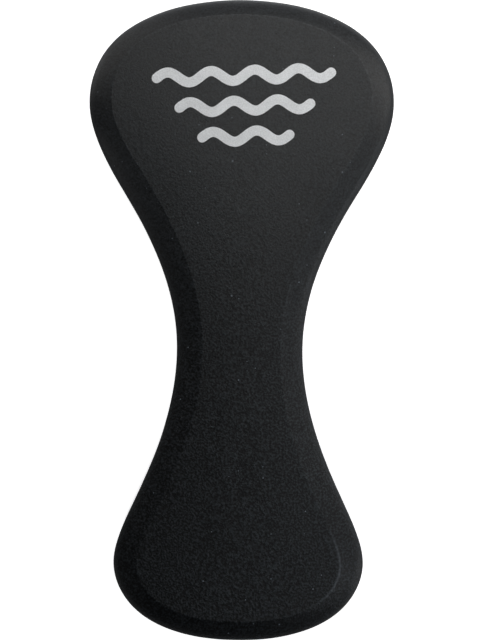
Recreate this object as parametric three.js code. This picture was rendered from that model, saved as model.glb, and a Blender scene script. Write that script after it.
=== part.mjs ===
// Pull buoy: an hourglass-shaped swimming float of closed-cell EVA foam, held between the thighs.
// Three foam slabs are bonded into one block by two thin films of contact adhesive. The front and
// rear slabs have a bevelled rim around a flat face, and the front face carries three printed waves.
//
// Frame: millimetres. The buoy lies on its back face, +Z is up through the front face, +Y points
// to the larger end and X runs across. The origin is on the back face, under the outline's middle.

import * as THREE from "three";

// Block
const LENGTH = 245;
const SLAB_THICKNESS = 25.8;
const GLUE_THICKNESS = 0.3;
const GLUE_INSET = 0.4;

// Half outline, from the top end down the right side to the bottom end. Each key point has its
// position, its direction of travel as an angle from straight down (positive turns outward), the
// lengths of its two handles as shares of the chord on that side, and the width of the bevel there.
const KEY_POINTS = [
  { x: 0, y: LENGTH / 2, angle: 90, before: 0, after: 0.37, bevel: 7 },
  { x: 58.2, y: 82.8, angle: 0, before: 0.43, after: 0.32, bevel: 8.8 },
  { x: 45.4, y: 49.6, angle: -31.5, before: 0.29, after: 0.29, bevel: 9.4 },
  { x: 24.05, y: -10.9, angle: 0, before: 0.37, after: 0.37, bevel: 9.3 },
  { x: 39.3, y: -67.8, angle: 25, before: 0.31, after: 0.36, bevel: 9.3 },
  { x: 47.8, y: -92.8, angle: 0, before: 0.28, after: 0.19, bevel: 9.3 },
  { x: 0, y: -LENGTH / 2, angle: -90, before: 0.69, after: 0, bevel: 8.4 },
];
const STEPS_PER_STRETCH = 8;

// Bevelled rim, from the side wall up to the face: a rounded shoulder, then a slope that grows
// gentler up to the face's crisp edge. Each level has its drop below the face and the share of the
// bevel's width that the outline has moved inward.
const RIM = [
  { drop: 9.4, inward: 0 },
  { drop: 7.4, inward: 0.03 },
  { drop: 5.6, inward: 0.11 },
  { drop: 4, inward: 0.24 },
  { drop: 2.65, inward: 0.43 },
  { drop: 1.55, inward: 0.64 },
  { drop: 0.7, inward: 0.82 },
  { drop: 0, inward: 1 },
];

// Printed waves
const WAVE_CENTRE_X = 1.2;
const WAVE_CENTRE_Y = 81;
const WAVE_TURN = THREE.MathUtils.degToRad(2.3);
const WAVE_SPACING = 11.5;
const WAVE_PERIOD = 16.5;
const WAVE_HEIGHT = 4;
const WAVE_STROKE = 3.8;
const WAVE_INK_THICKNESS = 0.2;
const WAVE_STEPS_PER_PERIOD = 14;
const WAVE_END_STEPS = 6;
const WAVES = [
  { name: "wave_print_upper", periods: 4, row: 1 },
  { name: "wave_print_middle", periods: 3, row: 0 },
  { name: "wave_print_lower", periods: 2, row: -1 },
];

// Heights of the layers
const REAR_GLUE_Z = SLAB_THICKNESS;
const CORE_Z = REAR_GLUE_Z + GLUE_THICKNESS;
const FRONT_GLUE_Z = CORE_Z + SLAB_THICKNESS;
const FRONT_Z = FRONT_GLUE_Z + GLUE_THICKNESS;
const FRONT_FACE_Z = FRONT_Z + SLAB_THICKNESS;

// Materials
const foam = new THREE.MeshStandardMaterial({ color: 0x1b1c1e, roughness: 0.82, metalness: 0 });
const glue = new THREE.MeshStandardMaterial({ color: 0x0c0c0c, roughness: 0.5, metalness: 0 });
const ink = new THREE.MeshStandardMaterial({ color: 0xbfc1c3, roughness: 0.6, metalness: 0 });

// The direction of travel at a key point.
function direction(key) {
  const angle = THREE.MathUtils.degToRad(key.angle);
  return new THREE.Vector2(Math.sin(angle), -Math.cos(angle));
}

// A key point moved inward, square to the outline, by a distance.
function movedInward(key, distance) {
  const along = direction(key);
  return new THREE.Vector2(key.x + along.y * distance, key.y - along.x * distance);
}

// The closed outline, anticlockwise from the bottom end, moved inward by the distance that
// insetAt gives for each key point.
function outline(insetAt) {
  const half = [];
  for (let i = 0; i + 1 < KEY_POINTS.length; i += 1) {
    const from = KEY_POINTS[i];
    const to = KEY_POINTS[i + 1];
    const start = movedInward(from, insetAt(from));
    const end = movedInward(to, insetAt(to));
    const chord = start.distanceTo(end);
    const startHandle = start.clone().addScaledVector(direction(from), from.after * chord);
    const endHandle = end.clone().addScaledVector(direction(to), -to.before * chord);
    const stretch = new THREE.CubicBezierCurve(start, startHandle, endHandle, end);
    half.push(...stretch.getPoints(STEPS_PER_STRETCH).slice(i === 0 ? 0 : 1));
  }
  const right = half.slice().reverse();
  const left = half.slice(1, -1).map((point) => new THREE.Vector2(-point.x, point.y));
  return [...right, ...left];
}

// A closed solid through level outlines with equal numbers of points, listed from the bottom up.
function loft(levels) {
  const count = levels[0].points.length;
  const last = (levels.length - 1) * count;
  const positions = levels.flatMap(({ points, z }) => points.flatMap(({ x, y }) => [x, y, z]));
  const index = [];
  for (let level = 0; level + 1 < levels.length; level += 1) {
    for (let i = 0; i < count; i += 1) {
      const a = level * count + i;
      const b = level * count + ((i + 1) % count);
      index.push(a, b, b + count, a, b + count, a + count);
    }
  }
  for (const [a, b, c] of THREE.ShapeUtils.triangulateShape(levels[0].points, [])) {
    index.push(a, c, b);
  }
  for (const [a, b, c] of THREE.ShapeUtils.triangulateShape(levels.at(-1).points, [])) {
    index.push(last + a, last + b, last + c);
  }
  const geometry = new THREE.BufferGeometry();
  geometry.setAttribute("position", new THREE.Float32BufferAttribute(positions, 3));
  geometry.setIndex(index);
  return geometry;
}

function namedMesh(name, geometry, material) {
  geometry.computeVertexNormals();
  const mesh = new THREE.Mesh(geometry, material);
  mesh.name = name;
  return mesh;
}

// Levels of the bevelled rim under or over a face at faceZ. side is 1 for a face that looks up.
function rimLevels(faceZ, side) {
  const levels = RIM.map(({ drop, inward }) => ({
    points: outline((key) => inward * key.bevel),
    z: faceZ - side * drop,
  }));
  return side > 0 ? levels : levels.reverse();
}

function flatLevel(inset, z) {
  return { points: outline(() => inset), z };
}

function frontSlab() {
  return namedMesh("front_slab", loft([flatLevel(0, FRONT_Z), ...rimLevels(FRONT_FACE_Z, 1)]), foam);
}

function coreSlab() {
  const levels = [flatLevel(0, CORE_Z), flatLevel(0, CORE_Z + SLAB_THICKNESS)];
  return namedMesh("core_slab", loft(levels), foam);
}

function rearSlab() {
  return namedMesh("rear_slab", loft([...rimLevels(0, -1), flatLevel(0, SLAB_THICKNESS)]), foam);
}

function glueFilm(name, z) {
  const levels = [flatLevel(GLUE_INSET, z), flatLevel(GLUE_INSET, z + GLUE_THICKNESS)];
  return namedMesh(name, loft(levels), glue);
}

// A place on a wave's centre line, x along its length from its left end, with the unit vector
// square to the line there.
function waveFrame(x) {
  const phase = (x / WAVE_PERIOD) * 2 * Math.PI;
  const slope = ((WAVE_HEIGHT * Math.PI) / WAVE_PERIOD) * Math.cos(phase);
  return {
    centre: new THREE.Vector2(x, (WAVE_HEIGHT / 2) * Math.sin(phase)),
    normal: new THREE.Vector2(-slope, 1).normalize(),
  };
}

// The point on a stroke's rim that lies off its centre line along a spoke.
function rimPoint(centre, spoke) {
  return centre.clone().addScaledVector(spoke, WAVE_STROKE / 2);
}

// The half circle that rounds off a stroke's end, anticlockwise from the side that a spoke faces.
function roundEnd(centre, firstSpoke) {
  const points = [];
  for (let step = 1; step < WAVE_END_STEPS; step += 1) {
    const turn = (step * Math.PI) / WAVE_END_STEPS;
    points.push(rimPoint(centre, firstSpoke.clone().rotateAround(new THREE.Vector2(), turn)));
  }
  return points;
}

// The anticlockwise outline of a wavy stroke of even width with round ends.
function waveOutline(length, steps) {
  const frames = [];
  for (let step = 0; step <= steps; step += 1) {
    frames.push(waveFrame((length * step) / steps));
  }
  const upperSide = frames.map(({ centre, normal }) => rimPoint(centre, normal)).reverse();
  const lowerSide = frames.map(({ centre, normal }) => rimPoint(centre, normal.clone().negate()));
  const leftEnd = roundEnd(frames[0].centre, frames[0].normal);
  const rightEnd = roundEnd(frames[steps].centre, frames[steps].normal.clone().negate());
  return [...lowerSide, ...rightEnd, ...upperSide, ...leftEnd];
}

function wavePrint({ name, periods, row }) {
  const length = periods * WAVE_PERIOD;
  const points = waveOutline(length, periods * WAVE_STEPS_PER_PERIOD);
  const mesh = namedMesh(name, loft([{ points, z: 0 }, { points, z: WAVE_INK_THICKNESS }]), ink);
  mesh.position.set(-length / 2, row * WAVE_SPACING, 0);
  return mesh;
}

function wavePrints() {
  const group = new THREE.Group();
  group.position.set(WAVE_CENTRE_X, WAVE_CENTRE_Y, FRONT_FACE_Z);
  group.rotation.z = WAVE_TURN;
  group.add(...WAVES.map(wavePrint));
  return group;
}

const pullBuoy = new THREE.Group();
pullBuoy.add(
  rearSlab(),
  glueFilm("rear_glue_film", REAR_GLUE_Z),
  coreSlab(),
  glueFilm("front_glue_film", FRONT_GLUE_Z),
  frontSlab(),
  wavePrints(),
);

export default pullBuoy;
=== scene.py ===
"""Pull buoy: the looks of a black EVA foam swimming float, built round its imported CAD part.

The front, core and rear slabs, the two seams of adhesive and the three printed waves are each
rebuilt as a fine mesh through the CAD solids' own outlines, with procedural materials. The slabs
keep the frame's axes: +Z up through the front face, +Y towards the larger end.
"""

import math
from collections import Counter

import bmesh
import bpy
import numpy as np
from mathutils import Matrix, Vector, geometry, noise
from mathutils.bvhtree import BVHTree


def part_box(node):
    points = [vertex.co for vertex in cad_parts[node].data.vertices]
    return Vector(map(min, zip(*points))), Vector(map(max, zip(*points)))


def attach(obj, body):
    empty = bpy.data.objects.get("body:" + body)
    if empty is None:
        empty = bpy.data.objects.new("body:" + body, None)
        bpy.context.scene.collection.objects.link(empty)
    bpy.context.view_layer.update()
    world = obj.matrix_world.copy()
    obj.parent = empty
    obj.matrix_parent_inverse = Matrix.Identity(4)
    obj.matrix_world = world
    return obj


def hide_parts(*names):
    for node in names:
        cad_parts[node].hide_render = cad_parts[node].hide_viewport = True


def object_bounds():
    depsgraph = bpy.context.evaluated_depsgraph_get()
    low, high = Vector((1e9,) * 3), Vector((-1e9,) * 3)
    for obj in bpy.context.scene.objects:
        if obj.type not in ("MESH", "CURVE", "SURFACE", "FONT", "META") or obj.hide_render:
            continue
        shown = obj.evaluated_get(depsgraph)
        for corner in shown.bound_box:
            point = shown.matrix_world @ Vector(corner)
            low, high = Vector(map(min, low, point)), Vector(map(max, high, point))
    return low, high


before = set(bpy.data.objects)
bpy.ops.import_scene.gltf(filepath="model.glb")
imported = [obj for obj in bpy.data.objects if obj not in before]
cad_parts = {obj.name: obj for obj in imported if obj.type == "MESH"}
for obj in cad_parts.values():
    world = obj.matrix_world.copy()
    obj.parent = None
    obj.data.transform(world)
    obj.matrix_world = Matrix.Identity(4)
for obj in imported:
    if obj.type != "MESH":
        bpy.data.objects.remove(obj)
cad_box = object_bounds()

MM = 0.001
BODY = "root"

# How exactly the CAD solids' points are read
POINT_DIGITS = 7
LEVEL_DIGITS = 5
LEVEL_GAP = 0.01 * MM

# Foam meshes
RING_POINTS = 480
FACE_COLUMNS = 40
HIDDEN_FACE_COLUMNS = 4
WALL_STEP = 1.6 * MM
RIM_STEPS = 7
SEAM_ROUNDING = 0.55 * MM
SEAM_ROUNDING_STEPS = 5
LIP_ROWS = (0.25 * MM, 0.7 * MM, 1.6 * MM)

# The slight shift of the front and back faces to the right, round the waist
FACE_SHIFT = 0.68 * MM
FACE_SHIFT_Y = 12 * MM
FACE_SHIFT_REACH = 58 * MM

# The front face's crown
CROWN = 1.1 * MM
CROWN_EASE = 22 * MM
CROWN_HALF_WIDTH = 30 * MM
LEAST_WIDTH = 0.001 * MM

# The foam's unevenness (length, height), and how near to a seam it starts to fade out
RELIEF = ((60 * MM, 0.22 * MM), (17 * MM, 0.07 * MM), (4.5 * MM, 0.02 * MM))
SEAM_CALM = 2 * MM

# Where a slab is rubbed. Shares are of the bevel's width, from the side wall to the face.
SEAM_WEAR = 0.6
SHOULDER_WEAR = 0.55
SHOULDER_SHARE = 0.06
SHOULDER_SPREAD = 0.09
LIP_SPREAD = 0.045
LIP_WEAR_WIDTH = 0.35 * MM
CUT_SIDE_SHARE = 0.12

# Painted highlight on a stretch of the front face's lip, round one corner: the lip's colour is
# lightened there in place of a light's glint
LIP_HIGHLIGHT_CORNER = (38 * MM, -95.5 * MM)
LIP_HIGHLIGHT_REACH = 14 * MM

# Scuffs on the front face, from and to
SCUFFS = (
    ((-0.5 * MM, -91.7 * MM, 0), (2.6 * MM, -94.4 * MM, 0)),
    ((2.1 * MM, -94.8 * MM, 0), (6 * MM, -96.3 * MM, 0)),
)
SCUFF_WIDTH = 0.35 * MM

# Adhesive seams
SEAM_INSET = 0.45 * MM
SEAM_RAGGED = 0.12 * MM
SEAM_RAGGED_LENGTH = 3 * MM

# Printed waves
INK_STEP = 0.5 * MM
INK_PROUD = 0.07 * MM
INK_SUNK = 0.05 * MM
INK_RAGGED = 0.05 * MM
INK_RAGGED_LENGTH = 0.8 * MM

# Materials. A tone is a factor on the base colour, or what a mark adds to that factor, and a pair
# of tones or of roughnesses is the lowest and the highest. The radii of pits and of specks of dust
# are shares of their spacing.
NOISE_RANGE = (0.3, 0.7)

FOAM_COLOUR = (0.0101, 0.0117, 0.0135)
SLAB_TONES = {"front_slab": 1.0, "core_slab": 1.08, "rear_slab": 0.96}
LEAST_FOAM_TONE = 0.05
FOAM_ROUGHNESS = (0.44, 0.54)
CUT_SIDE_ROUGHNESS = 0.12
RUBBED_SMOOTHNESS = 0.1
GRAIN_SIZE = 0.8 * MM
GRAIN_RANGE = (0.32, 0.68)
GRAIN_TONES = (-0.7, 0.7)
GRAIN_DEPTH = 0.08 * MM
MOTTLE_SIZE = 2.2 * MM
MOTTLE_TONES = (0.88, 1.12)
MOTTLE_DEPTH = 0.04 * MM
CLOUD_SIZE = 28 * MM
CLOUD_TONES = (0.93, 1.07)
# Painted shading in the grain: where its colour contrast is strongest and weakest along Y, and how
# much it gains towards the smaller end, in place of light falling more aslant there
MOST_GRAIN_SHADING_Y = -50 * MM
LEAST_GRAIN_SHADING_Y = 100 * MM
LEAST_GRAIN_SHADING = 0.95
GRAIN_SHADING_GAIN = 2.35
PIT_SPACING = 1.3 * MM
PIT_RARITY = 0.55
PIT_RADIUS = 0.2
PIT_RIM = (-0.06, 0.03)
# Painted shade: the tone that the colour takes inside a pit
PIT_SHADE_TONE = 0.45
PIT_DEPTH = 0.05 * MM
DUST_SPACING = 3.2 * MM
DUST_RARITY = 0.6
DUST_RADIUS = 0.11
DUST_TONE = 7.0
RUB_SIZE = 1.6 * MM
RUB_RANGE = (0.38, 0.62)
RUBBED_TONE = 0.7
LIP_HIGHLIGHT_TONE = 4.5
SCUFF_TONE = 1.6

GLUE_COLOUR = (0.008, 0.0078, 0.0075)
GLUE_LUMP_SIZE = 1.5 * MM
GLUE_TONES = (0.7, 1.4)
GLUE_ROUGHNESS = (0.35, 0.6)
GLUE_DEPTH = 0.08 * MM

INK_COLOUR = (0.865, 0.88, 0.895)
INK_SPECULAR = 0.4
INK_GRAIN_SIZE = 0.5 * MM
INK_GRAIN_TONES = (0.88, 1.1)
INK_CLOUD_SIZE = 6 * MM
INK_CLOUD_TONES = (0.95, 1.04)
INK_ROUGHNESS = (0.5, 0.68)
INK_DEPTH = 0.03 * MM

PAPER_COLOUR = (0.86, 0.86, 0.86)
PAPER_SPECULAR = 0.2
PAPER_ROUGHNESS = 0.7
PAPER_CLOUD_SIZE = 0.4
PAPER_TONES = (0.99, 1.0)
PAPER_GLOW = 0.98
# Painted contact shadow: how far round the buoy the paper's glow is dimmed, and the glow where it
# is darkest
CONTACT_SHADOW_REACH = 6 * MM
CONTACT_SHADOW_GLOW = 0.08

# Camera
BUOY_SHARE_OF_PICTURE = 0.99922
LENS = 100
SENSOR = 36
CAMERA_ROLL = math.radians(0.45)

# Studio
COVE_RADIUS = 3.5
COVE_FLOOR_RADII = (0.02, 0.2, 0.6, 1.2)
COVE_CURVE = 1.5
COVE_HEIGHT = 5
COVE_SIDES = 96
COVE_CURVE_STEPS = 16
SOFT_LIGHTS = (  # name, place, radius, watts, colour
    ("window", (0.04, 0.15, 0.225), 0.125, 0.215, (1, 1, 0.99)),
    ("left_window", (-0.13, 0.18, 0.12), 0.09, 0.058, (1.02, 1, 0.98)),
    ("upper_left_card", (-0.115, 0.12, 0.045), 0.03, 0.005, (1, 1, 1)),
    ("left_flank_card", (-0.095, 0.035, 0.085), 0.03, 0.003, (1, 1, 1)),
    ("lower_left_card", (-0.2, -0.17, 0.15), 0.08, 0.005, (1, 1, 1)),
    ("right_corner", (0.18, 0.115, 0.125), 0.08, 0.097, (1.02, 1, 0.98)),
    ("low_right", (0.24, -0.21, 0.43), 0.05, 0.315, (0.95, 1, 1.05)),
    ("right_card", (0.65, -0.25, 0.07), 0.2, 0.55, (0.97, 1, 1.03)),
)
ROOM_COLOUR = (0.95, 0.975, 1, 1)
FLOOR_LOBES = (  # degrees from +X towards +Y, brightness, sharpness
    (90, 0.8, 3),
    (40, 0.27, 4),
    (-30, 0.22, 3),
    (210, 0.13, 3),
    (-100, 0.05, 1),
)
HORIZON_BLUR = 0.04


# ---- The CAD solids' outlines -------------------------------------------------------------------


def polygons_of(node):
    """Each face of a CAD node as its corner points, rounded so that points meant to meet do."""
    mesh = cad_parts[node].data
    points = [tuple(round(c, POINT_DIGITS) for c in vertex.co) for vertex in mesh.vertices]
    return [[points[i] for i in polygon.vertices] for polygon in mesh.polygons]


def levels_of(polygons):
    """The heights at which a CAD solid has points, from the bottom up."""
    return sorted({round(point[2], LEVEL_DIGITS) for corners in polygons for point in corners})


def outline_at(polygons, height):
    """The outline of a CAD solid at one of its levels, anticlockwise from its lowest Y."""
    flat_uses = Counter()
    for corners in polygons:
        level = [abs(point[2] - height) < LEVEL_GAP for point in corners]
        for i, start in enumerate(corners):
            following = (i + 1) % len(corners)
            if level[i] and level[following]:
                flat_uses[frozenset((start[:2], corners[following][:2]))] += all(level)
    neighbours = {}
    for edge, uses in flat_uses.items():
        if uses < 2:
            a, b = edge
            neighbours.setdefault(a, []).append(b)
            neighbours.setdefault(b, []).append(a)
    first = min(neighbours, key=lambda point: (point[1], abs(point[0])))
    loop = [first, neighbours[first][0]]
    while loop[-1] != first:
        a, b = neighbours[loop[-1]]
        loop.append(b if a == loop[-2] else a)
    loop = np.array(loop[:-1])
    x, y = loop.T
    anticlockwise = np.sum(x * np.roll(y, -1) - y * np.roll(x, -1)) > 0
    return loop if anticlockwise else np.roll(loop[::-1], 1, axis=0)


def chord_places(loop):
    """The distance along a closed loop at each point, and the whole length round it."""
    chords = np.linalg.norm(np.roll(loop, -1, axis=0) - loop, axis=1)
    return np.concatenate([[0], np.cumsum(chords)[:-1]]), chords.sum()


def closed_spline(loop, places, whole, wanted):
    """Points at the wanted places on the smooth closed curve through a loop's points."""
    count = len(loop)
    after = np.diff(np.append(places, whole))
    before = np.roll(after, 1)
    rise_after = (np.roll(loop, -1, axis=0) - loop) / after[:, None]
    rise_before = np.roll(rise_after, 1, axis=0)
    system = np.zeros((count, count))
    rows = np.arange(count)
    system[rows, rows] = 2 * (before + after)
    system[rows, (rows - 1) % count] = after
    system[rows, (rows + 1) % count] = before
    slopes = np.linalg.solve(
        system, 3 * (after[:, None] * rise_before + before[:, None] * rise_after)
    )
    at = np.searchsorted(places, wanted, side="right") - 1
    step = after[at][:, None]
    t = (wanted[:, None] - places[at][:, None]) / step
    following = (at + 1) % count
    return (
        (1 + 2 * t) * (1 - t) ** 2 * loop[at]
        + t * (1 - t) ** 2 * step * slopes[at]
        + t * t * (3 - 2 * t) * loop[following]
        - t * t * (1 - t) * step * slopes[following]
    )


def monotone_curve(known, values, wanted):
    """Smooth values between known ones that never pass them (Fritsch and Carlson's slopes)."""
    step = np.diff(known)
    rise = np.diff(values) / step
    slopes = np.zeros(len(known))
    slopes[0], slopes[-1] = rise[0], rise[-1]
    for i in range(1, len(known) - 1):
        if rise[i - 1] * rise[i] > 0:
            near, far = 2 * step[i] + step[i - 1], step[i] + 2 * step[i - 1]
            slopes[i] = (near + far) / (near / rise[i - 1] + far / rise[i])
    at = np.clip(np.searchsorted(known, wanted, side="right") - 1, 0, len(step) - 1)
    t = (wanted - known[at]) / step[at]
    return (
        (1 + 2 * t) * (1 - t) ** 2 * values[at]
        + t * (1 - t) ** 2 * step[at] * slopes[at]
        + t * t * (3 - 2 * t) * values[at + 1]
        - t * t * (1 - t) * step[at] * slopes[at + 1]
    )


class Outlines:
    """The buoy's widest outline and its face's outline, finely and evenly resampled in step."""

    def __init__(self):
        front = polygons_of("front_slab")
        self.levels = levels_of(front)
        loops = [outline_at(front, level) for level in self.levels]
        places, whole = chord_places(loops[0])
        wanted = np.linspace(0, whole, RING_POINTS, endpoint=False)
        self.outer = closed_spline(loops[0], places, whole, wanted)
        inward = closed_spline(loops[-1], places, whole, wanted) - self.outer
        self.width = np.linalg.norm(inward, axis=1)
        self.inward = inward / self.width[:, None]
        moves = np.array([np.linalg.norm(loop - loops[0], axis=1).mean() for loop in loops])
        self.shares = moves / moves[-1]

        waist = np.exp(-(((self.outer[:, 1] - FACE_SHIFT_Y) / FACE_SHIFT_REACH) ** 4))
        self.shift = np.column_stack([FACE_SHIFT * waist, np.zeros(RING_POINTS)])
        self.face = self.ring(1)

    def ring(self, share, inset=0.0):
        """The outline moved inward by a share of the bevel's width, and by a distance.

        A face sits a little to the right of the middle round the waist, as moulded.
        """
        return self.outer + self.inward * (share * self.width + inset)[:, None] + share * self.shift

    def crown(self, x, y):
        """How far a crowned face has sunk at points on it.

        It sinks most at the long edges of the wide parts, and not at all at the two ends.
        """
        half = RING_POINTS // 2
        right = self.face[: half + 1]
        left = self.face[np.arange(0, -half - 1, -1)]
        right_x = np.interp(y, right[:, 1], right[:, 0])
        left_x = np.interp(y, left[:, 1], left[:, 0])
        across = (2 * x - right_x - left_x) / np.maximum(right_x - left_x, LEAST_WIDTH)
        from_end = np.minimum(right[-1, 1] - y, y - right[0, 1])
        depth = CROWN * (1 - np.exp(-np.maximum(from_end, 0) / CROWN_EASE))
        depth *= np.minimum((right_x - left_x) / (2 * CROWN_HALF_WIDTH), 1)
        return depth * np.minimum(across**2, 1)


# ---- Rows up a slab's side ----------------------------------------------------------------------


def rounding(count):
    """(inset, distance from the seam) along the rounded corner where a slab's side meets a seam."""
    turns = np.linspace(0, math.pi / 2, count, endpoint=False)
    return [(SEAM_ROUNDING * (1 - math.sin(a)), SEAM_ROUNDING * (1 - math.cos(a))) for a in turns]


def bevelled_side(outlines, levels):
    """(share, inset, height) rows of a bevelled slab's side, from its seam to its face's edge."""
    seam = levels[0]
    up = 1 if levels[-1] > seam else -1
    distances = np.abs(np.array(levels) - seam)
    across = outlines.shares * outlines.width.mean()
    along = np.cumsum(np.hypot(np.diff(across, prepend=0), np.diff(distances, prepend=0)))
    wall = np.arange(SEAM_ROUNDING, along[1], WALL_STEP)
    rim = [np.linspace(a, b, RIM_STEPS, endpoint=False) for a, b in zip(along[1:], along[2:])]
    places = np.concatenate([wall, *rim, along[-1:]])
    shares = monotone_curve(along, outlines.shares, places)
    heights = monotone_curve(along, distances, places)
    rows = [(0, inset, seam + up * rise) for inset, rise in rounding(SEAM_ROUNDING_STEPS)]
    rows += [(share, 0, seam + up * height) for share, height in zip(shares, heights)]
    return rows + [(1, inset, levels[-1]) for inset in LIP_ROWS]


def straight_side(levels):
    """(share, inset, height) rows of the straight side of a slab between two seams."""
    low, high = levels
    corner = rounding(SEAM_ROUNDING_STEPS)
    count = round((high - low) / WALL_STEP)
    wall = np.linspace(low + SEAM_ROUNDING, high - SEAM_ROUNDING, count)
    rows = [(0, inset, low + rise) for inset, rise in corner]
    rows += [(0, 0, height) for height in wall]
    return rows + [(0, inset, high - rise) for inset, rise in reversed(corner)]


# ---- Wear on a slab's side ----------------------------------------------------------------------


def lip_at(share, inset):
    """1 on the crisp lip round a slab's face, and 0 a little way from it on either side."""
    return math.exp(-(((1 - share) / LIP_SPREAD) ** 2) - (inset / LIP_WEAR_WIDTH) ** 2)


def wear_at(share, inset):
    """How much a slab's surface is rubbed: most at the face's lip, some at shoulder and seams."""
    if share == 0:
        return SEAM_WEAR * inset / SEAM_ROUNDING
    shoulder = SHOULDER_WEAR * math.exp(-(((share - SHOULDER_SHARE) / SHOULDER_SPREAD) ** 2))
    return max(lip_at(share, inset), shoulder)


def cut_at(share):
    """1 on a slab's straight side, where it was cut, and 0 a little way up its bevel."""
    return 1 - min(share / CUT_SIDE_SHARE, 1)


def painted_lip_highlight_at(ring, lip):
    """How much painted lip highlight a ring's points take: only on the lip, and only round one
    corner.
    """
    gap = np.linalg.norm(ring - LIP_HIGHLIGHT_CORNER, axis=1)
    return lip * np.exp(-((gap / LIP_HIGHLIGHT_REACH) ** 4))


# ---- Meshes -------------------------------------------------------------------------------------


def strips(ring_count):
    """Faces that join each ring of a stack of rings to the next one."""
    around = np.arange(RING_POINTS)
    onward = np.roll(around, -1)
    faces = []
    for row in range(ring_count - 1):
        a, b = row * RING_POINTS + around, row * RING_POINTS + onward
        faces += np.column_stack([a, b, b + RING_POINTS, a + RING_POINTS]).tolist()
    return faces


def cap(points, ring, columns):
    """Fills a ring with rows of points straight across it. Returns the points and the faces."""
    count = len(ring)
    rows = []
    added = []
    first_new = len(points)
    for j in range(1, count // 2):
        right, left = points[ring[j]], points[ring[count - j]]
        row = [ring[j]]
        for column in range(1, columns):
            row.append(first_new + len(added))
            added.append(right + (left - right) * (column / columns))
        rows.append([*row, ring[count - j]])
    faces = [(ring[0], a, b) for a, b in zip(rows[0], rows[0][1:])]
    for lower, upper in zip(rows, rows[1:]):
        faces += zip(lower, lower[1:], upper[1:], upper)
    faces += [(ring[count // 2], b, a) for a, b in zip(rows[-1], rows[-1][1:])]
    return np.array(added), faces


def object_from(name, points, faces, smooth=True):
    """A new mesh object in the scene, with its faces turned outward."""
    mesh = bpy.data.meshes.new(name)
    mesh.from_pydata([tuple(point) for point in points], [], faces)
    work = bmesh.new()
    work.from_mesh(mesh)
    bmesh.ops.recalc_face_normals(work, faces=work.faces)
    work.to_mesh(mesh)
    work.free()
    if smooth:
        mesh.shade_smooth()
    piece = bpy.data.objects.new(name, mesh)
    bpy.context.scene.collection.objects.link(piece)
    return piece


def point_attribute(piece, name, values):
    """Gives each of a piece's points a named number, for its material to read."""
    attribute = piece.data.attributes.new(name, "FLOAT", "POINT")
    attribute.data.foreach_set("value", np.asarray(values, dtype=np.float32))


def relief(point):
    """The foam's slight unevenness at a point, as a distance along its surface's normal."""
    return sum(height * noise.noise(Vector(point) / length) for length, height in RELIEF)


def roughen(piece, seams):
    """Moves a foam piece's points along their normals by the relief.

    The relief fades out towards the heights of the seams, and no point goes below the floor.
    """
    mesh = piece.data
    normals = np.empty(len(mesh.vertices) * 3, dtype=np.float32)
    mesh.vertex_normals.foreach_get("vector", normals)
    points = np.empty_like(normals)
    mesh.vertices.foreach_get("co", points)
    points, normals = points.reshape(-1, 3), normals.reshape(-1, 3)
    gap = np.min([np.abs(points[:, 2] - seam) for seam in seams], axis=0)
    moves = np.minimum(gap / SEAM_CALM, 1) * [relief(point) for point in points]
    points += normals * moves[:, None]
    points[:, 2] = np.maximum(points[:, 2], 0)
    mesh.vertices.foreach_set("co", points.ravel())
    mesh.update()


def side_rings(outlines, side, crowned):
    """A slab's rings of points up its side, how rubbed and cut each point is, and how much painted
    lip highlight it takes.
    """
    rings, wear, cut, chafe = [], [], [], []
    for share, inset, height in side:
        ring = outlines.ring(share, inset)
        heights = np.full(RING_POINTS, height)
        if crowned:
            heights -= share * outlines.crown(*(ring if share == 1 else outlines.face).T)
        rings.append(np.column_stack([ring, heights]))
        wear.append(np.full(RING_POINTS, wear_at(share, inset)))
        cut.append(np.full(RING_POINTS, cut_at(share)))
        # Painted highlight: only the lip's points round one corner take it
        chafe.append(painted_lip_highlight_at(ring, lip_at(share, inset) if crowned else 0))
    return rings, {"wear": wear, "cut": cut, "chafe": chafe}


def foam_slab(name, outlines, side, crowned=False, face_last=True):
    """A slab's fine mesh: its side's rings joined by strips, and a cap on each end.

    face_last says that the last cap is a face that shows, and not one hidden in a seam.
    """
    rings, marks = side_rings(outlines, side, crowned)
    points = np.concatenate(rings)
    first = np.arange(RING_POINTS)
    last = len(points) - RING_POINTS + first
    seam_points, seam_faces = cap(points, first, HIDDEN_FACE_COLUMNS)
    points = np.concatenate([points, seam_points])
    columns = FACE_COLUMNS if face_last else HIDDEN_FACE_COLUMNS
    face_points, face_faces = cap(points, last, columns)
    if crowned:
        face_points[:, 2] = side[-1][2] - outlines.crown(face_points[:, 0], face_points[:, 1])
    points = np.concatenate([points, face_points])
    piece = object_from(name, points, strips(len(rings)) + seam_faces + face_faces)
    unmarked = np.zeros(len(seam_points) + len(face_points))
    for mark, values in marks.items():
        point_attribute(piece, mark, np.concatenate([*values, unmarked]))
    seam_rows = side[:1] if face_last else [side[0], side[-1]]
    roughen(piece, [height for _, _, height in seam_rows])
    return piece


def adhesive_seam(name, outlines, node):
    """A film of adhesive whose edge shows, slightly ragged, at the bottom of a seam's groove."""
    low, high = (corner[2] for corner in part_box(node))
    ring = outlines.ring(0, SEAM_INSET)
    squeezed = [noise.noise(Vector((x, y, low)) / SEAM_RAGGED_LENGTH) for x, y in ring]
    ring = ring - outlines.inward * (SEAM_RAGGED * np.array(squeezed))[:, None]
    rings = [np.column_stack([ring, np.full(RING_POINTS, height)]) for height in (low, high)]
    points = np.concatenate(rings)
    faces = strips(len(rings))
    for row in range(len(rings)):
        edge = row * RING_POINTS + np.arange(RING_POINTS)
        added, filling = cap(points, edge, HIDDEN_FACE_COLUMNS)
        points = np.concatenate([points, added])
        faces += filling
    return object_from(name, points, faces)


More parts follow.
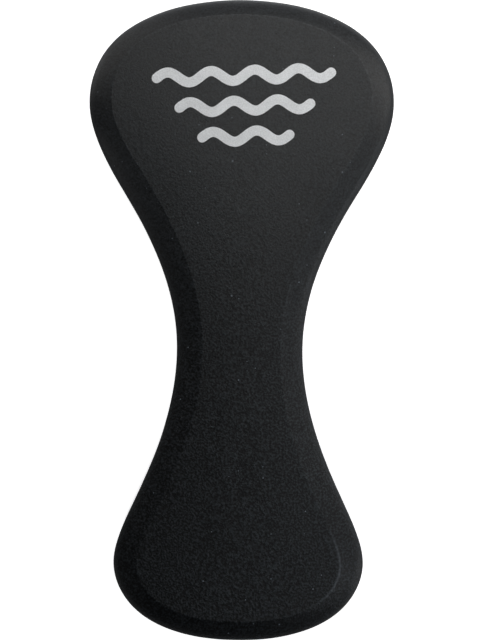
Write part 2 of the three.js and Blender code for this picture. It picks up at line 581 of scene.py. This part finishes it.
def ragged_edge(node):
    """A printed wave's outline, finely resampled and slightly uneven."""
    polygons = polygons_of(node)
    loop = outline_at(polygons, levels_of(polygons)[-1])
    places, whole = chord_places(loop)
    wanted = np.linspace(0, whole, round(whole / INK_STEP), endpoint=False)
    edge = closed_spline(loop, places, whole, wanted)
    along = np.roll(edge, -1, axis=0) - np.roll(edge, 1, axis=0)
    outward = np.column_stack([along[:, 1], -along[:, 0]])
    outward /= np.linalg.norm(outward, axis=1)[:, None]
    ragged = [noise.noise(Vector((x, y, 0)) / INK_RAGGED_LENGTH) for x, y in edge]
    return edge + outward * (INK_RAGGED * np.array(ragged))[:, None]


def printed_wave(name, node, foam):
    """A wave of ink that follows the foam under it."""
    ground = BVHTree.FromObject(foam, bpy.context.evaluated_depsgraph_get())
    above = 2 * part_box(node)[1][2]
    top, bottom = [], []
    for x, y in ragged_edge(node):
        height = ground.ray_cast(Vector((x, y, above)), Vector((0, 0, -1)))[0].z
        top.append(Vector((x, y, height + INK_PROUD)))
        bottom.append(Vector((x, y, height - INK_SUNK)))
    count = len(top)
    filling = geometry.tessellate_polygon([top])
    faces = [tuple(triangle) for triangle in filling]
    faces += [tuple(i + count for i in reversed(triangle)) for triangle in filling]
    faces += [(i, (i + 1) % count, (i + 1) % count + count, i + count) for i in range(count)]
    return object_from(name, top + bottom, faces, smooth=False)


# ---- Materials ----------------------------------------------------------------------------------


class Nodes:
    """A node tree, with short ways to add nodes to it."""

    def __init__(self, tree):
        self.tree = tree

    def add(self, kind, inputs=(), **settings):
        """Adds a node. inputs are (socket, value or output to join) pairs."""
        node = self.tree.nodes.new(kind)
        for key, value in settings.items():
            setattr(node, key, value)
        for socket, value in inputs:
            if isinstance(value, bpy.types.NodeSocket):
                self.tree.links.new(value, node.inputs[socket])
            else:
                node.inputs[socket].default_value = value
        return node

    def math(self, operation, a, b):
        """The result of an operation on two numbers."""
        return self.add("ShaderNodeMath", [(0, a), (1, b)], operation=operation).outputs[0]

    def vector(self, operation, a, b=(0, 0, 0), output="Vector"):
        """The result of an operation on one or two vectors."""
        inputs = [(0, a), (1, b)]
        return self.add("ShaderNodeVectorMath", inputs, operation=operation).outputs[output]

    def scaled(self, vector, factor):
        """A vector or a colour times a number."""
        inputs = [(0, vector), ("Scale", factor)]
        return self.add("ShaderNodeVectorMath", inputs, operation="SCALE").outputs[0]

    def axis(self, vector, name):
        """One of a vector's X, Y and Z."""
        return self.add("ShaderNodeSeparateXYZ", [("Vector", vector)]).outputs[name]

    def fit(self, value, low, high, to_low=0.0, to_high=1.0):
        """value's range from low to high, mapped to another range and clamped there."""
        inputs = [("Value", value), ("From Min", low), ("From Max", high)]
        inputs += [("To Min", to_low), ("To Max", to_high)]
        return self.add("ShaderNodeMapRange", inputs, clamp=True).outputs[0]

    def add_share(self, total, value, share):
        """A number, plus another one times a share."""
        return self.math("ADD", total, self.math("MULTIPLY", value, share))


class Surface(Nodes):
    """A new material's nodes, over the piece's own coordinates in metres."""

    def __init__(self, name, specular=0.5):
        self.material = bpy.data.materials.new(name)
        self.material.use_nodes = True
        super().__init__(self.material.node_tree)
        self.shader = self.tree.nodes["Principled BSDF"]
        self.shader.inputs["Specular IOR Level"].default_value = specular
        self.place = self.add("ShaderNodeTexCoord").outputs["Object"]

    def noise(self, size, detail=3.0):
        """Soft noise from 0 to 1, mostly in NOISE_RANGE, with features of about that size."""
        inputs = [("Vector", self.place), ("Scale", 1 / size), ("Detail", detail)]
        return self.add("ShaderNodeTexNoise", inputs).outputs["Fac"]

    def cells(self, size):
        """(distance to the nearest cell's middle, as a share of size; a random number per cell)."""
        node = self.add("ShaderNodeTexVoronoi", [("Vector", self.place), ("Scale", 1 / size)])
        channels = self.add("ShaderNodeSeparateColor", [("Color", node.outputs["Color"])])
        return node.outputs["Distance"], channels.outputs["Red"]

    def attribute(self, name):
        """The number of that name that the piece's points have."""
        return self.add("ShaderNodeAttribute", attribute_name=name).outputs["Fac"]

    def hairline(self, start, end, width):
        """1 on a fine straight line on the top of the piece, and 0 beside it."""
        start, along = Vector(start), Vector(end) - Vector(start)
        flat = self.vector("MULTIPLY", self.place, (1, 1, 0))
        offset = self.vector("SUBTRACT", flat, start)
        share = self.vector("DOT_PRODUCT", offset, along / along.length_squared, "Value")
        nearest = self.scaled(along, self.fit(share, 0, 1))
        return self.fit(self.vector("DISTANCE", offset, nearest, "Value"), 0, width, 1, 0)

    def join(self, value, socket):
        """Joins an output to one of the shader's sockets."""
        self.tree.links.new(value, self.shader.inputs[socket])

    def bump(self, height):
        """Joins a height in metres to the shader as bumps."""
        inputs = [("Strength", 1.0), ("Distance", 1.0), ("Height", height)]
        self.join(self.add("ShaderNodeBump", inputs).outputs[0], "Normal")


def painted_grain_shading(skin):
    """How strongly the foam's grain shows: more towards the smaller end. This is painted shading:
    the grain's light and dark in the colour grow where light falls more aslant, and the same factor
    also deepens the grain's bumps and brightens the dust there.
    """
    nearness = skin.fit(skin.axis(skin.place, "Y"), MOST_GRAIN_SHADING_Y, LEAST_GRAIN_SHADING_Y, 1, 0)
    gain = skin.math("MULTIPLY", skin.math("POWER", nearness, 2.0), GRAIN_SHADING_GAIN)
    return skin.math("ADD", gain, LEAST_GRAIN_SHADING)


def pits(skin):
    """1 in the foam's small open pits and 0 between them, with soft rims."""
    distance, random = skin.cells(PIT_SPACING)
    radius = skin.fit(random, PIT_RARITY, 1, 0, PIT_RADIUS)
    return skin.fit(skin.math("SUBTRACT", distance, radius), *PIT_RIM, 1, 0)


def dust(skin):
    """1 on sparse specks of dust, and 0 between them."""
    distance, random = skin.cells(DUST_SPACING)
    return skin.math("LESS_THAN", distance, skin.fit(random, DUST_RARITY, 1, 0, DUST_RADIUS))


def foam_material(name, tone, scuffs=()):
    """Black closed-cell foam: a fine sand-like skin with pits, marked by rubbing, dust and scuffs.
    Its colour also holds painted shade in the pits, a painted highlight on the lip round one
    corner, and painted shading that makes the grain stronger towards the smaller end.
    """
    skin = Surface(name)
    grain = skin.noise(GRAIN_SIZE)
    mottle = skin.noise(MOTTLE_SIZE, detail=2)
    cloud = skin.noise(CLOUD_SIZE)
    grain_shading = painted_grain_shading(skin)
    pit = pits(skin)
    patchy = skin.fit(skin.noise(RUB_SIZE), *RUB_RANGE)
    rubbed = skin.math("MULTIPLY", skin.attribute("wear"), patchy)

    # Painted shading: the grain's light and dark in the colour are made stronger towards the
    # smaller end
    factor = skin.math("MULTIPLY", skin.fit(grain, *GRAIN_RANGE, *GRAIN_TONES), grain_shading)
    factor = skin.math("MAXIMUM", skin.math("ADD", factor, 1.0), LEAST_FOAM_TONE)
    factor = skin.math("MULTIPLY", factor, skin.fit(mottle, *NOISE_RANGE, *MOTTLE_TONES))
    factor = skin.math("MULTIPLY", factor, skin.fit(cloud, *NOISE_RANGE, *CLOUD_TONES))
    # Painted shade: the colour is darkened inside the pits, where shade would fall; the pits are
    # also bumped in below
    factor = skin.math("MULTIPLY", factor, skin.fit(pit, 0, 1, 1, PIT_SHADE_TONE))
    factor = skin.add_share(factor, rubbed, RUBBED_TONE)
    factor = skin.add_share(factor, dust(skin), skin.math("MULTIPLY", grain_shading, DUST_TONE))
    # Painted highlight: the lip round one corner is lightened in colour, standing in for a light's
    # glint on it
    factor = skin.add_share(factor, skin.attribute("chafe"), LIP_HIGHLIGHT_TONE)
    for start, end in scuffs:
        factor = skin.add_share(factor, skin.hairline(start, end, SCUFF_WIDTH), SCUFF_TONE)
    colour = tuple(channel * tone for channel in FOAM_COLOUR)
    skin.join(skin.scaled(colour, factor), "Base Color")

    rough = skin.fit(mottle, *NOISE_RANGE, *FOAM_ROUGHNESS)
    rough = skin.add_share(rough, skin.attribute("cut"), CUT_SIDE_ROUGHNESS)
    skin.join(skin.add_share(rough, rubbed, -RUBBED_SMOOTHNESS), "Roughness")

    height = skin.math("MULTIPLY", skin.math("MULTIPLY", grain, GRAIN_DEPTH), grain_shading)
    height = skin.add_share(height, mottle, MOTTLE_DEPTH)
    skin.bump(skin.add_share(height, pit, -PIT_DEPTH))
    return skin.material


def adhesive_material():
    """Dried contact adhesive: dark, a little shiny and lumpy."""
    glue = Surface("adhesive")
    lumps = glue.noise(GLUE_LUMP_SIZE)
    tone = glue.fit(lumps, *NOISE_RANGE, *GLUE_TONES)
    glue.join(glue.scaled(GLUE_COLOUR, tone), "Base Color")
    glue.join(glue.fit(lumps, *NOISE_RANGE, *GLUE_ROUGHNESS), "Roughness")
    glue.bump(glue.math("MULTIPLY", lumps, GLUE_DEPTH))
    return glue.material


def ink_material():
    """Silver-grey screen print, mottled where it sinks into the foam's grain."""
    ink = Surface("ink", INK_SPECULAR)
    grain = ink.noise(INK_GRAIN_SIZE)
    cloud = ink.fit(ink.noise(INK_CLOUD_SIZE), *NOISE_RANGE, *INK_CLOUD_TONES)
    factor = ink.math("MULTIPLY", ink.fit(grain, *NOISE_RANGE, *INK_GRAIN_TONES), cloud)
    ink.join(ink.scaled(INK_COLOUR, factor), "Base Color")
    ink.join(ink.fit(grain, *NOISE_RANGE, *INK_ROUGHNESS), "Roughness")
    ink.bump(ink.math("MULTIPLY", grain, INK_DEPTH))
    return ink.material


def cove_material():
    """Bright glowing paper with a painted contact shadow: its glow is dimmed close round the place
    where the buoy stands on it.
    """
    paper = Surface("pale_cove", PAPER_SPECULAR)
    paper.shader.inputs["Roughness"].default_value = PAPER_ROUGHNESS
    tone = paper.fit(paper.noise(PAPER_CLOUD_SIZE, detail=2), *NOISE_RANGE, *PAPER_TONES)
    paper.join(paper.scaled(PAPER_COLOUR, tone), "Base Color")
    paper.shader.inputs["Emission Color"].default_value = (1, 1, 1, 1)
    # Painted shadow: the paper's glow fades where the buoy is near, in place of the contact shadow
    # under its rim
    reach = [("Distance", CONTACT_SHADOW_REACH)]
    unshadowed_share = paper.add("ShaderNodeAmbientOcclusion", reach).outputs["AO"]
    paper.join(paper.fit(unshadowed_share, 0, 1, CONTACT_SHADOW_GLOW, PAPER_GLOW), "Emission Strength")
    return paper.material


# ---- Assembly -----------------------------------------------------------------------------------


def dress(piece, node, material):
    """Gives a piece its material, and puts it on the body in place of its CAD node."""
    piece.data.materials.append(material)
    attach(piece, BODY)
    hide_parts(node)


def build_buoy():
    """Builds the slabs, the seams and the waves, and dresses them.

    Only the front slab is crowned, because the buoy rests on the flat face of the rear one.
    """
    outlines = Outlines()
    rear_levels = levels_of(polygons_of("rear_slab"))[::-1]
    core_levels = [corner[2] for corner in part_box("core_slab")]
    front_side = bevelled_side(outlines, outlines.levels)
    front = foam_slab("front_foam", outlines, front_side, crowned=True)
    core = foam_slab("core_foam", outlines, straight_side(core_levels), face_last=False)
    rear = foam_slab("rear_foam", outlines, bevelled_side(outlines, rear_levels))
    slabs = {"front_slab": front, "core_slab": core, "rear_slab": rear}
    for node, piece in slabs.items():
        scuffs = SCUFFS if piece is front else ()
        dress(piece, node, foam_material(piece.name, SLAB_TONES[node], scuffs))
    glue = adhesive_material()
    for name, node in (("front_seam", "front_glue_film"), ("rear_seam", "rear_glue_film")):
        dress(adhesive_seam(name, outlines, node), node, glue)
    ink = ink_material()
    for row in ("upper", "middle", "lower"):
        node = f"wave_print_{row}"
        dress(printed_wave(f"{row}_wave_ink", node, front), node, ink)


# ---- Studio -------------------------------------------------------------------------------------


def camera():
    """Straight above the buoy, whose widest outline all but fills the picture's height."""
    low, high = cad_box
    shoulder = levels_of(polygons_of("front_slab"))[1]
    picture_height = (high.y - low.y) / BUOY_SHARE_OF_PICTURE
    data = bpy.data.cameras.new("camera")
    data.lens = LENS
    data.sensor_width = SENSOR
    eye = bpy.data.objects.new("camera", data)
    eye.location = (0, 0, shoulder + picture_height * LENS / SENSOR)
    eye.rotation_euler = (0, 0, CAMERA_ROLL)
    bpy.context.scene.collection.objects.link(eye)
    bpy.context.scene.camera = eye


def soft_light(name, place, radius, watts, colour):
    """A round soft light that faces the buoy's middle and that the camera doesn't see."""
    data = bpy.data.lights.new(name, "AREA")
    data.shape = "DISK"
    data.size = 2 * radius
    data.energy = watts
    data.color = colour
    light = bpy.data.objects.new(name, data)
    light.location = place
    towards = (cad_box[0] + cad_box[1]) / 2 - light.location
    light.rotation_euler = towards.to_track_quat("-Z", "Y").to_euler()
    light.visible_camera = False
    bpy.context.scene.collection.objects.link(light)


def cove():
    """A round studio cove: a flat floor that curves up into a wall, seen only by the camera."""
    turns = np.linspace(0, math.pi / 2, COVE_CURVE_STEPS)
    profile = [(radius, 0) for radius in COVE_FLOOR_RADII]
    profile += [
        (COVE_RADIUS - COVE_CURVE * (1 - math.sin(a)), COVE_CURVE * (1 - math.cos(a)))
        for a in turns
    ]
    profile.append((COVE_RADIUS, COVE_HEIGHT))
    around = np.linspace(0, 2 * math.pi, COVE_SIDES, endpoint=False)
    points = [(r * math.cos(a), r * math.sin(a), z) for r, z in profile for a in around]
    faces = [tuple(range(COVE_SIDES))]
    for row in range(len(profile) - 1):
        for i in range(COVE_SIDES):
            a, b = row * COVE_SIDES + i, row * COVE_SIDES + (i + 1) % COVE_SIDES
            faces.append((a, b, b + COVE_SIDES, a + COVE_SIDES))
    piece = object_from("cove", points, faces)
    piece.data.materials.append(cove_material())
    piece.visible_diffuse = False
    piece.visible_glossy = False
    piece.visible_shadow = False


def floor_lobe(room, bearing, degrees, brightness, sharpness):
    """Light that comes mostly from one side, and fades to none square to it."""
    side = (math.cos(math.radians(degrees)), math.sin(math.radians(degrees)), 0)
    facing = room.math("MAXIMUM", room.vector("DOT_PRODUCT", bearing, side, "Value"), 0.0)
    return room.math("MULTIPLY", room.math("POWER", facing, sharpness), brightness)


def surroundings():
    """The room that the foam reflects: a floor that glows towards some sides, and dark above."""
    world = bpy.data.worlds.new("dim_room")
    world.use_nodes = True
    room = Nodes(world.node_tree)
    direction = room.add("ShaderNodeTexCoord").outputs["Generated"]
    bearing = room.vector("NORMALIZE", room.vector("MULTIPLY", direction, (1, 1, 0)))
    floor = floor_lobe(room, bearing, *FLOOR_LOBES[0])
    for lobe in FLOOR_LOBES[1:]:
        floor = room.math("ADD", floor, floor_lobe(room, bearing, *lobe))
    below = room.fit(room.axis(direction, "Z"), HORIZON_BLUR, -HORIZON_BLUR)
    background = room.tree.nodes["Background"]
    background.inputs["Color"].default_value = ROOM_COLOUR
    room.tree.links.new(room.math("MULTIPLY", floor, below), background.inputs["Strength"])
    bpy.context.scene.world = world


def studio():
    """The floor, the room, the lights and the camera."""
    cove()
    surroundings()
    for light in SOFT_LIGHTS:
        soft_light(*light)
    camera()
    bpy.context.scene.view_settings.view_transform = "Standard"


build_buoy()
studio()
